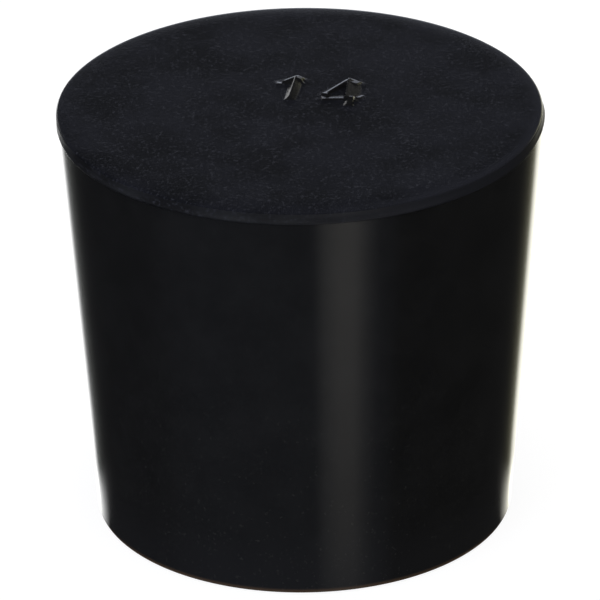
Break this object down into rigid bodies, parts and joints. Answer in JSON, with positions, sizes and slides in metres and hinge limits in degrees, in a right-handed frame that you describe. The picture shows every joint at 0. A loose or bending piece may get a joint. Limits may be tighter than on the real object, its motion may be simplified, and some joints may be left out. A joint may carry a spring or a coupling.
{
  "type": "rubber stopper",
  "caption": "Solid tapered black rubber stopper with a thin moulded lip round its large end, made to plug a round bottle or flask neck.",
  "frame": {"origin": "centre of the small end's flat face, where the stopper stands", "axes": "+Z along the stopper's axis, from the small end up to the large end"},
  "size_m": [0.045, 0.045, 0.0403],
  "materials": {
    "black_rubber": "matte moulded black rubber, smoother on the taper than on the top face"
  },
  "bodies": {
    "root": {"stopper": "black_rubber"}
  },
  "joints": []
}
